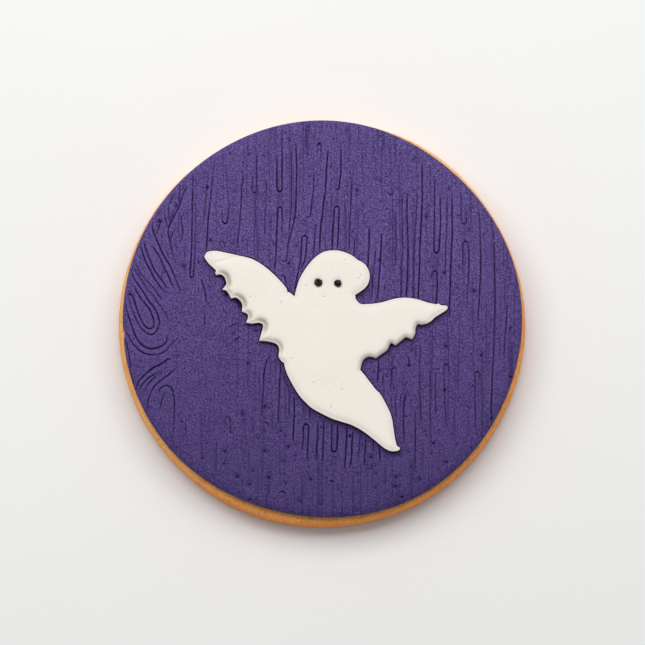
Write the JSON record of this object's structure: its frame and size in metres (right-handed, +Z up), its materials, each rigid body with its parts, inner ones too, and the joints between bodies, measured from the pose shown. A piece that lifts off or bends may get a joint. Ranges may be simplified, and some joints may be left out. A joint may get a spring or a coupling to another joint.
{
  "type": "iced sugar cookie",
  "caption": "Round sugar cookie under a disc of purple sugar paste with embossed woodgrain, topped by a white flying ghost with black eyes.",
  "frame": {"origin": "middle of the flat underside, on the surface the cookie lies on", "axes": "+Z up through the cookie's thickness, +Y towards the top of the picture on it (the ghost's head), +X to the ghost's right-hand sleeve as seen from above"},
  "size_m": [0.0804, 0.0807, 0.0103],
  "materials": {
    "baked_biscuit": "matte, fine baked crumb",
    "purple_icing": "matte sugar paste, finely pitted",
    "white_icing": "matte sugar paste",
    "black_icing": "satin, dried bead of icing"
  },
  "bodies": {
    "root": {"biscuit": "baked_biscuit", "icing_disc": "purple_icing", "ghost": "white_icing", "eye_left": "black_icing", "eye_right": "black_icing"}
  },
  "joints": []
}
